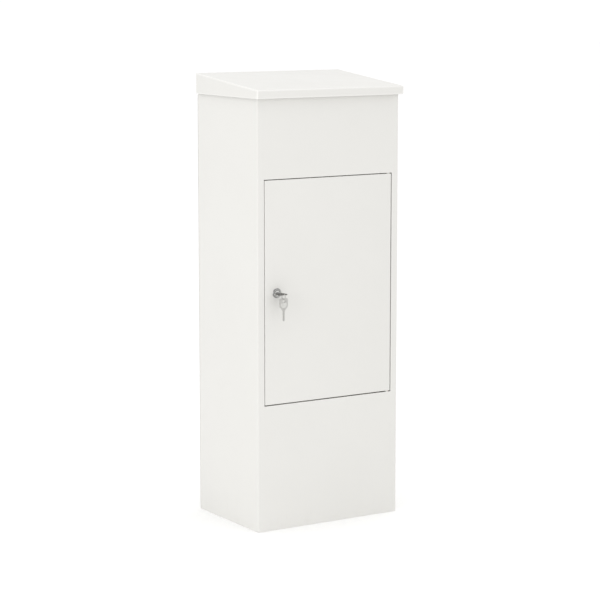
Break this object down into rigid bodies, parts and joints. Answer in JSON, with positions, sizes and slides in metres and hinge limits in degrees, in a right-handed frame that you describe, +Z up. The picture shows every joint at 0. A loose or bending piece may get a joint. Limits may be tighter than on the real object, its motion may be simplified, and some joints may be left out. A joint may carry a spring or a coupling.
{
  "type": "parcel drop box",
  "caption": "Free-standing sheet-steel parcel box: a sloping lid raises a guard plate across the mouth, and a flush front door with a cam lock opens the compartment.",
  "frame": {"origin": "middle of the base, on the floor", "axes": "+X to the right seen from the front, +Y to the back, +Z up; the door faces -Y"},
  "size_m": [0.388, 0.3054, 1.0198],
  "materials": {
    "white_powder_coat": "warm white satin powder coat on sheet steel",
    "zinc_plated_steel": "zinc-plated steel",
    "lock_chrome": "chromed zinc die casting",
    "key_nickel": "nickel-plated brass",
    "white_nylon": "white nylon",
    "black_rubber": "black rubber"
  },
  "bodies": {
    "body": {"body_shell": "white_powder_coat", "back_panel": "white_powder_coat", "base_plate": "white_powder_coat", "compartment_floor": "white_powder_coat", "frame_head": "white_powder_coat", "frame_sill": "white_powder_coat", "frame_jamb_strike": "white_powder_coat", "frame_jamb_hinge": "white_powder_coat", "collar_left": "white_powder_coat", "collar_right": "white_powder_coat", "collar_front": "white_powder_coat", "lid_buffer_left": "black_rubber", "lid_buffer_right": "black_rubber", "pivot_pin_top": "zinc_plated_steel", "pivot_pin_bottom": "zinc_plated_steel", "lid_hinge_left_body_leaf": "zinc_plated_steel", "lid_hinge_right_body_leaf": "zinc_plated_steel", "lid_hinge_left_pin": "zinc_plated_steel", "lid_hinge_right_pin": "zinc_plated_steel", "rivet_back_left_60": "zinc_plated_steel", "rivet_back_left_480": "zinc_plated_steel", "rivet_back_left_900": "zinc_plated_steel", "rivet_back_right_60": "zinc_plated_steel", "rivet_back_right_480": "zinc_plated_steel", "rivet_back_right_900": "zinc_plated_steel", "rivet_body_leaf_left_outer": "zinc_plated_steel", "rivet_body_leaf_left_inner": "zinc_plated_steel", "rivet_body_leaf_right_outer": "zinc_plated_steel", "rivet_body_leaf_right_inner": "zinc_plated_steel"},
    "lid": {"lid_shell": "white_powder_coat", "lid_grip_rail": "white_powder_coat", "lid_guard": "white_powder_coat", "lid_hinge_left_lid_leaf": "zinc_plated_steel", "lid_hinge_right_lid_leaf": "zinc_plated_steel", "rivet_lid_leaf_left_outer": "zinc_plated_steel", "rivet_lid_leaf_left_inner": "zinc_plated_steel", "rivet_lid_leaf_right_outer": "zinc_plated_steel", "rivet_lid_leaf_right_inner": "zinc_plated_steel"},
    "door": {"door_panel": "white_powder_coat", "door_stiffener_left": "white_powder_coat", "door_stiffener_right": "white_powder_coat", "pivot_bush_top": "white_nylon", "pivot_bush_bottom": "white_nylon", "lock_housing": "lock_chrome", "lock_nut": "zinc_plated_steel"},
    "lock": {"lock_plug": "lock_chrome", "lock_cam": "zinc_plated_steel", "cam_nut": "zinc_plated_steel"},
    "key": {"key": "key_nickel"},
    "ring": {"key_ring": "key_nickel"},
    "spare": {"spare_key": "key_nickel"}
  },
  "joints": [
    {"name": "lid_hinge", "type": "hinge", "parent": "body", "child": "lid", "pos_m": [0, 0.1329, 0.973], "axis": [-1, 0, 0], "range_deg": [0, 88]},
    {"name": "door_hinge", "type": "hinge", "parent": "body", "child": "door", "pos_m": [0.1627, -0.127, 0.541], "axis": [0, 0, 1], "range_deg": [0, 105]},
    {"name": "lock_turn", "type": "hinge", "parent": "door", "child": "lock", "pos_m": [-0.138, -0.1325, 0.541], "axis": [0, -1, 0], "range_deg": [0, 90]},
    {"name": "key_slide", "type": "slide", "parent": "lock", "child": "key", "axis": [0, -1, 0], "range_m": [0, 0.03]},
    {"name": "ring_swing", "type": "hinge", "parent": "key", "child": "ring", "pos_m": [-0.138, -0.1618, 0.541], "axis": [-1, 0, 0], "range_deg": [0, 60]},
    {"name": "spare_key_swing", "type": "hinge", "parent": "ring", "child": "spare", "pos_m": [-0.138, -0.1618, 0.5296], "axis": [0, 1, 0], "range_deg": [-60, 60]}
  ]
}
